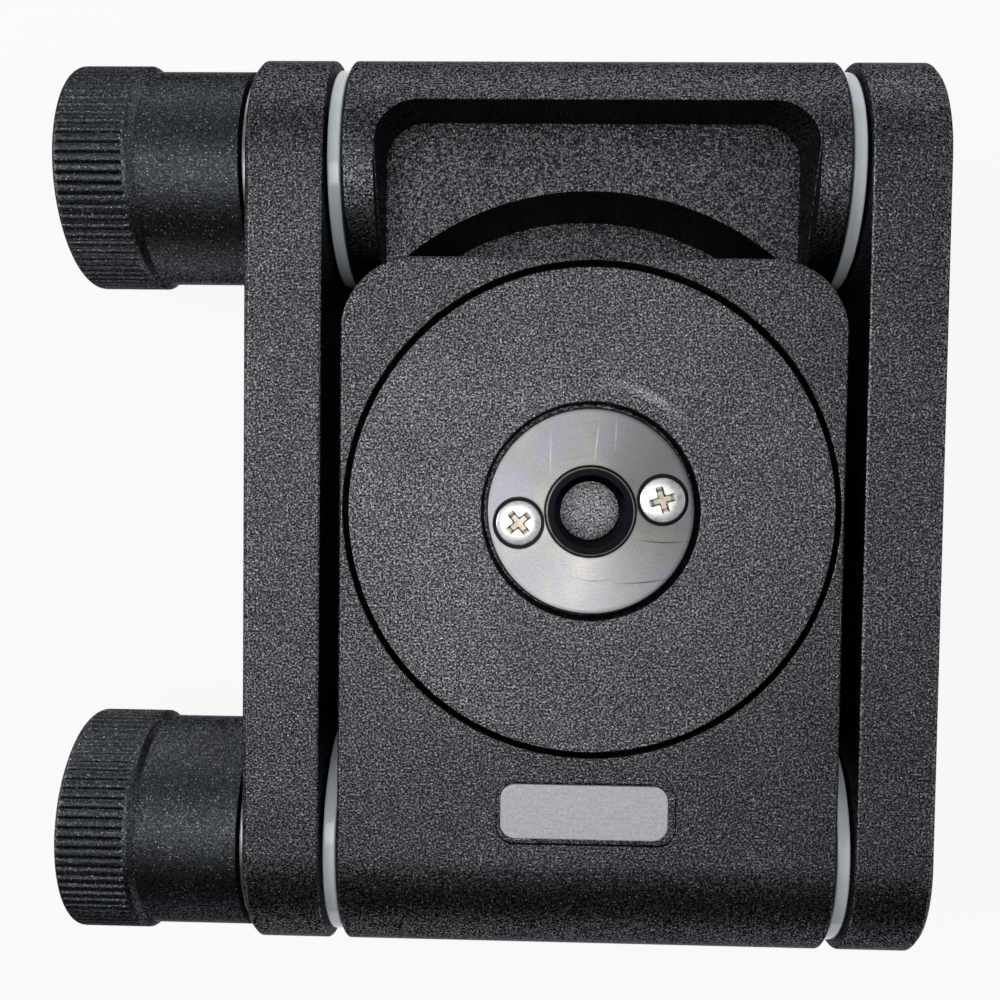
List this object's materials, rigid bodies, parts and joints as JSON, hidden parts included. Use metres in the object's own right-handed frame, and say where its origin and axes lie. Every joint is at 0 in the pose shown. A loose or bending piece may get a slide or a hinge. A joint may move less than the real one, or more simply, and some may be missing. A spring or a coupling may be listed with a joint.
{
  "type": "flexible tilt head",
  "caption": "Folding camera tilt head: panning tripod base and camera plate on clamped hinges between side arms, with knurled knobs and a captive camera screw.",
  "frame": {"origin": "centre of the overall box on the surface that the camera pads stand on, folded flat", "axes": "+X along both hinge axes away from the knobs, +Y from the lower hinge to the upper hinge, +Z out of the tripod face"},
  "size_m": [0.0952, 0.1012, 0.033],
  "materials": {
    "grained_black": "fine-grained black powder coat on machined aluminium",
    "turned_steel": "face-turned bright steel",
    "black_oxide": "black oxide on steel",
    "nickel_screw": "bright nickel plate",
    "pale_acetal": "pale bluish white acetal",
    "silver_label": "silver grey foil, bare",
    "zinc_steel": "zinc-plated steel",
    "pad_rubber": "matt black rubber",
    "knob_cap_black": "satin black moulded plastic"
  },
  "bodies": {
    "base_section": {"base_plate": "grained_black", "label_plate": "silver_label", "pan_friction_ring": "pale_acetal", "pan_lower_ring": "pale_acetal", "lower_left_washer": "pale_acetal", "lower_right_washer": "pale_acetal"},
    "pan": {"pan_disc": "grained_black", "thread_plate": "turned_steel", "thread_plate_screw_left": "nickel_screw", "thread_plate_screw_right": "nickel_screw", "reducer_bushing": "black_oxide", "pan_retainer": "zinc_steel", "retainer_screw_1": "nickel_screw", "retainer_screw_2": "nickel_screw", "retainer_screw_3": "nickel_screw"},
    "arms": {"left_arm": "grained_black", "right_arm": "grained_black", "lower_pivot_bolt": "black_oxide", "upper_pivot_bolt": "black_oxide", "lower_thrust_washer": "turned_steel", "upper_thrust_washer": "turned_steel"},
    "lower_knob": {"lower_knob": "grained_black", "lower_knob_cap": "knob_cap_black", "lower_knob_stud": "zinc_steel"},
    "upper_knob": {"upper_knob": "grained_black", "upper_knob_cap": "knob_cap_black", "upper_knob_stud": "zinc_steel"},
    "camera_section": {"camera_section": "grained_black", "front_pad": "pad_rubber", "rear_pad": "pad_rubber", "camera_screw_o_ring": "pad_rubber", "upper_left_washer": "pale_acetal", "upper_right_washer": "pale_acetal"},
    "camera_screw_carrier": {"camera_screw_washer": "zinc_steel"},
    "camera_screw": {"camera_screw": "nickel_screw"}
  },
  "joints": [
    {"name": "lower_tilt", "type": "hinge", "parent": "base_section", "child": "arms", "pos_m": [0.01045, -0.0375, 0.0199], "axis": [-1, 0, 0], "range_deg": [0, 180]},
    {"name": "upper_tilt", "type": "hinge", "parent": "arms", "child": "camera_section", "pos_m": [0.01045, 0.0375, 0.0199], "axis": [1, 0, 0], "range_deg": [0, 180]},
    {"name": "pan_turn", "type": "hinge", "parent": "base_section", "child": "pan", "pos_m": [0.01045, 0, 0.033], "axis": [0, 0, 1], "continuous": true},
    {"name": "lower_knob_turn", "type": "hinge", "parent": "arms", "child": "lower_knob", "pos_m": [-0.02665, -0.0375, 0.0199], "axis": [-1, 0, 0], "range_deg": [0, 180]},
    {"name": "upper_knob_turn", "type": "hinge", "parent": "arms", "child": "upper_knob", "pos_m": [-0.02665, 0.0375, 0.0199], "axis": [-1, 0, 0], "range_deg": [0, 180]},
    {"name": "camera_screw_slide", "type": "slide", "parent": "camera_section", "child": "camera_screw_carrier", "axis": [0, 0, -1], "range_m": [0, 0.0053]},
    {"name": "camera_screw_turn", "type": "hinge", "parent": "camera_screw_carrier", "child": "camera_screw", "pos_m": [0.01045, 0.0028, 0.001], "axis": [0, 0, 1], "continuous": true}
  ]
}
